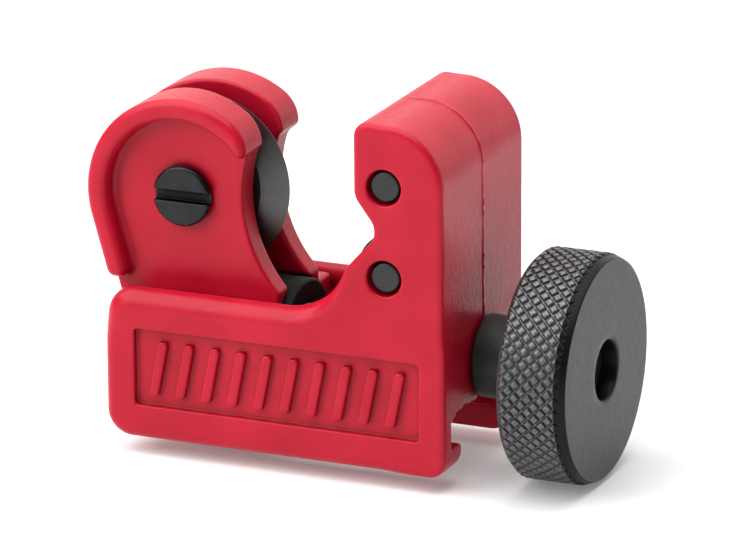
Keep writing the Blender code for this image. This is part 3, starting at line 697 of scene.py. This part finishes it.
rows = [(0.0, SCREW_X[0]), (SCREW_R - 0.75, SCREW_X[0]), (SCREW_R - 0.15, SCREW_X[0] + 0.6), (SCREW_R, SCREW_X[0] + 0.8)]
h = SCREW_X[0] + 0.8
while h < 29.9:
    h += 0.0625
    rows.append((SCREW_R, h))
rows += [(SCREW_R, RING_X[0] - 0.1), (GROOVE_R, RING_X[0] - 0.1), (GROOVE_R, RING_X[1] + 0.1), (SCREW_R, RING_X[1] + 0.1),
         (SCREW_R, KNOB_X[0] - 0.05), (SCREW_END_R, KNOB_X[0] - 0.05), (SCREW_END_R, SCREW_X[1] - 0.4),
         (SCREW_END_R - 0.4, SCREW_X[1]), (0.0, SCREW_X[1])]
dress(lathe("feed_screw_fine", rows, "X", (0, 0, AXIS_Z), 80, shape=thread, sharp=50),
      black_steel("black_screw", 0.06, rough=0.33), "feed", "feed_screw")
# The nut is black steel, darkened further and made matte as painted shade for the dark channel round it.
dress(lathe("feed_nut_fine", rounded([
    (NUT_BORE, NUT_X[1], 0.3), (NUT_R, NUT_X[1], 0.35), (NUT_R, NUT_X[0], 0.35), (NUT_BORE, NUT_X[0], 0.2)]),
    "X", (0, 0, AXIS_Z), 128, True), black_steel("black_nut_painted_shade", 0.005, rough=0.55, metal=0.0, worn=0.01, spec=0.12), "arm", "feed_nut")
dress(lathe("collar_fine", rounded([
    (WALL_HOLE, COLLAR_X[1], 0.1), (COLLAR_R, COLLAR_X[1], 0.25), (COLLAR_R, COLLAR_X[0], 0.25), (WALL_HOLE, COLLAR_X[0], 0.1)]),
    "X", (0, 0, AXIS_Z), 160, True),
    black_steel("black_collar", 0.044, tint=(0.86, 1.05, 0.97), rough=0.48, metal=0.75, stretch=(0.3, 1.0, 1.0), depth=0.003),
    "feed", "collar")
dress(lathe("thrust_washer_fine", rounded([
    (WALL_HOLE, WASHER_X[1], 0.06), (WASHER_R, WASHER_X[1], 0.12), (WASHER_R, WASHER_X[0], 0.12), (WALL_HOLE, WASHER_X[0], 0.06)]),
    "X", (0, 0, AXIS_Z), 128, True), turned_steel("washer_steel", 0.5, "X", (0, AXIS_Z), rough=0.3, tint=(1, 0.99, 0.97)),
    "body", "thrust_washer")


def ring_field(xs, ys, zs):
    x, y, z = (xs[:, None, None], ys[None, :, None], zs[None, None, :])
    r = np.hypot(y, z - AXIS_Z)
    d = np.maximum(r - RING_R, GROOVE_R + 0.15 - r)
    # the clip's mouth opens downwards, with rounded ends
    a = np.abs(np.degrees(np.arctan2(y, -(z - AXIS_Z))))
    mouth = (35.0 - a) * r * pi / 180.0
    return smax(slab(smax(d, mouth, 0.4), x, RING_X[0], RING_X[1], 0.08), np.float64(-9.0), 0.0)


keep, GRID = GRID, 0.09
dress(cast("retaining_ring_fine", ring_field, (RING_X[0], -4.5, AXIS_Z - 4.5), (RING_X[1], 4.5, AXIS_Z + 4.5), 1),
      black_steel("spring_steel_ring", 0.14, rough=0.34), "feed", "retaining_ring")
GRID = keep


# ---- knob -----------------------------------------------------------------------------------
def knurl(rr, hh, tt):
    """Diamond knurling cut into the knob's rim, trimmed by the chamfers at both ends."""
    u = tt / (2 * pi) * KNURLS
    v = (hh - KNOB_X[0]) / KNURL_LEN
    a = np.abs(((u + v) % 1.0) - 0.5)
    b = np.abs(((u - v) % 1.0) - 0.5)
    edge = 0.5 - np.maximum(a, b)                     # 0 in the grooves, 0.5 on a diamond's point
    lift = np.clip((edge - 0.055) / 0.15, 0, 1)
    cut_r = KNOB_R - 0.20 * (1.0 - lift) - 0.05 * (1.0 - np.clip(edge / 0.5, 0, 1))
    cone = KNOB_R - (KNOB_R - KNOB_FACE_R) * np.clip((hh - KNOB_X[1] + KNOB_CONE) / (KNOB_CONE - 0.12), 0, 2)
    env = np.minimum(KNOB_R - 0.55 + (hh - KNOB_X[0]) * 0.95, np.minimum(cone, KNOB_FACE_R - 0.09 + (KNOB_X[1] - hh)))
    # the grooves run out at the plain band
    out = np.minimum(cut_r, env)
    rim = (rr > KNOB_FACE_R - 0.7) & (hh > KNOB_X[0] + 0.001) & (hh < KNOB_X[1] - 0.001)
    return np.where(rim, np.minimum(out, KNOB_R), rr)


rows = [(KNOB_HOLE, KNOB_X[0] + 0.3), (KNOB_HOLE + 0.3, KNOB_X[0])] + [(r, KNOB_X[0]) for r in (5.0, 8.0, 10.0)]
rows += [(KNOB_R - 0.55, KNOB_X[0])]
n_rows = 120
for i in range(1, n_rows):
    rows.append((KNOB_R, KNOB_X[0] + (KNOB_X[1] - KNOB_X[0]) * i / n_rows))
rows += [(KNOB_FACE_R - 0.11, KNOB_X[1]), (KNOB_FACE_R - 0.30, KNOB_X[1])] + [(r, KNOB_X[1]) for r in (10.0, 9.0, 7.0, 5.0, 3.6)]
rows += [(KNOB_HOLE + 0.14, KNOB_X[1]), (KNOB_HOLE + 0.02, KNOB_X[1] - 0.10), (KNOB_HOLE, KNOB_X[1] - 0.14)]
rows += [(KNOB_HOLE, KNOB_X[1] - 2.0)]
knob = lathe("knob_fine", rows, "X", (0, 0, AXIS_Z), KNURLS * (20), True, shape=knurl, sharp=42)


def knob_look():
    L = Look("black_oxide_knob")
    o = L.xyz()
    v = L.math("SUBTRACT", o[2], AXIS_Z - BASE_Z)
    r = L.math("SQRT", L.math("ADD", L.math("MULTIPLY", o[1], o[1]), L.math("MULTIPLY", v, v)))
    n = L.t.nodes.new("ShaderNodeTexNoise")
    n.noise_dimensions = "1D"
    n.inputs["Scale"].default_value = 9.0
    n.inputs["Detail"].default_value = 4.0
    L.link(r, n.inputs["W"])
    rings = n.outputs["Fac"]
    cloud = L.noise(0.25, 4, 0.6)
    smear = L.noise(1.1, 5, 0.65)
    fine = L.noise(5.0, 4, 0.6)
    face = L.span(L.normal()[0], 0.9, 0.99)
    col_face = L.mix(L.span(cloud, 0.3, 0.7), (0.045, 0.044, 0.046), (0.058, 0.056, 0.059))
    col_face = L.mix(L.span(smear, 0.6, 0.8, 0.0, 0.3), col_face, (0.115, 0.113, 0.117))
    top = L.span(r, KNOB_R - 0.16, KNOB_R - 0.05)
    col_rim = L.mix(top, (0.034, 0.034, 0.036), (0.145, 0.145, 0.149))
    groove = L.span(r, KNOB_R - 0.240, KNOB_R - 0.215, 0.75, 0.0)
    col_rim = L.mix(groove, col_rim, (0.16, 0.16, 0.164))
    speck = L.noise(4.2, 3, 0.7)
    col_rim = L.mix(L.span(speck, 0.42, 0.62, 0.0, 0.75), col_rim, (0.055, 0.055, 0.057))
    # plain band beside the face, painted near black as shade, and a lighter ring painted at the face's edge as its
    # highlight
    band = L.span(o[0], KNOB_X[1] - MID_X - KNOB_CONE, KNOB_X[1] - MID_X - KNOB_CONE + 0.12)
    col_rim = L.mix(band, col_rim, (0.012, 0.012, 0.013))
    col_face = L.mix(L.span(r, KNOB_FACE_R - 0.28, KNOB_FACE_R - 0.10, 0.0, 0.6), col_face, (0.19, 0.19, 0.192))
    scratch = L.noise(1.9, 3, 0.5, stretch=(1.0, 3.5, 0.5))
    col_face = L.mix(L.span(scratch, 0.66, 0.74, 0.0, 0.45), col_face, (0.125, 0.122, 0.127))
    # Painted shade: the face round the hole and the bore inside it are darkened.
    col_face = L.mix(L.span(r, KNOB_HOLE + 0.22, KNOB_HOLE + 0.12), col_face, (0.02, 0.02, 0.021))
    col_rim = L.mix(L.span(r, KNOB_HOLE + 0.6, KNOB_HOLE + 0.2), col_rim, (0.015, 0.015, 0.016))
    L.link(L.mix(face, col_rim, col_face), L.s.inputs["Base Color"])
    L.link(L.math("ADD", L.span(rings, 0.3, 0.7, 0.40, 0.47), L.span(smear, 0.3, 0.7, -0.04, 0.05)), L.s.inputs["Roughness"])
    L.set(Metallic=0.9)
    L.bump([(L.math("MULTIPLY", rings, face), 0.004), (fine, 0.006)])
    return L.mat


dress(knob, knob_look(), "feed", "knob")

# ---- floor, light, camera -----------------------------------------------------------------------
floor_mesh = bpy.data.meshes.new("floor")
S = 3.0
floor_mesh.from_pydata([(-S, -S, -0.00003), (S, -S, -0.00003), (S, S, -0.00003), (-S, S, -0.00003)], [], [(0, 1, 2, 3)])
floor = bpy.data.objects.new("floor", floor_mesh)
bpy.context.scene.collection.objects.link(floor)
F = Look("pale_floor")
F.link(F.mix(F.span(F.noise(0.004, 2), 0.3, 0.7), (0.74, 0.74, 0.74), (0.78, 0.78, 0.78)), F.s.inputs["Base Color"])
F.set(Roughness=0.85, Emission_Color=(1.0, 1.0, 1.0, 1.0), Emission_Strength=0.16)
floor_mesh.materials.append(F.mat)

scene = bpy.context.scene
scene.view_settings.view_transform = "Standard"
scene.view_settings.look = "None"
world = bpy.data.worlds.new("studio")
scene.world = world
world.use_nodes = True
bg = world.node_tree.nodes["Background"]
bg.inputs["Color"].default_value = (1.0, 0.975, 0.945, 1.0)
# A pale sweep behind the tool, and dim surroundings elsewhere.
wt = world.node_tree
way = wt.nodes.new("ShaderNodeTexCoord")
xyz = wt.nodes.new("ShaderNodeSeparateXYZ")
wt.links.new(way.outputs["Generated"], xyz.inputs[0])
sweep_on = wt.nodes.new("ShaderNodeMapRange")
sweep_on.interpolation_type = "SMOOTHSTEP"
for key, v in (("From Min", 0.25), ("From Max", 0.75), ("To Min", 0.10), ("To Max", 1.35)):
    sweep_on.inputs[key].default_value = v
wt.links.new(xyz.outputs["Y"], sweep_on.inputs["Value"])
wt.links.new(sweep_on.outputs["Result"], bg.inputs["Strength"])


def area(name, where, target, size, power, colour=(1, 1, 1)):
    d = bpy.data.lights.new(name, "AREA")
    d.shape = "RECTANGLE"
    d.size, d.size_y = size
    d.energy = power
    d.color = colour
    ob = bpy.data.objects.new(name, d)
    scene.collection.objects.link(ob)
    ob.location = where
    ob.rotation_euler = (Vector(target) - Vector(where)).to_track_quat("-Z", "Y").to_euler()
    return ob


mid = (0.0, 0.0, 0.018)
area("top_softbox", (-0.10, -0.06, 0.33), mid, (0.44, 0.64), 3.4)
area("front_left", (-0.24, -0.30, 0.16), mid, (0.24, 0.24), 0.52)
area("right_card", (0.34, -0.05, 0.10), mid, (0.18, 0.18), 0.05)

cam = bpy.data.cameras.new("camera")
co = bpy.data.objects.new("camera", cam)
scene.collection.objects.link(co)
pos = Vector((243.8347 - 22.23, -503.9888, 189.2678 + 1.56)) * 0.001
fw = Vector((-0.382673, 0.873620, -0.300582)).normalized()
right = fw.cross(Vector((0, 0, 1))).normalized()
up = right.cross(fw)
roll = -0.0060205
R = right * cos(roll) + up * sin(roll)
U = -right * sin(roll) + up * cos(roll)
co.matrix_world = Matrix(((R.x, U.x, -fw.x, pos.x), (R.y, U.y, -fw.y, pos.y), (R.z, U.z, -fw.z, pos.z), (0, 0, 0, 1)))
cam.sensor_width = 36.0
cam.lens = 6061.71 * 36.0 / 732.0
cam.clip_start = 0.05
cam.clip_end = 20.0
scene.camera = co
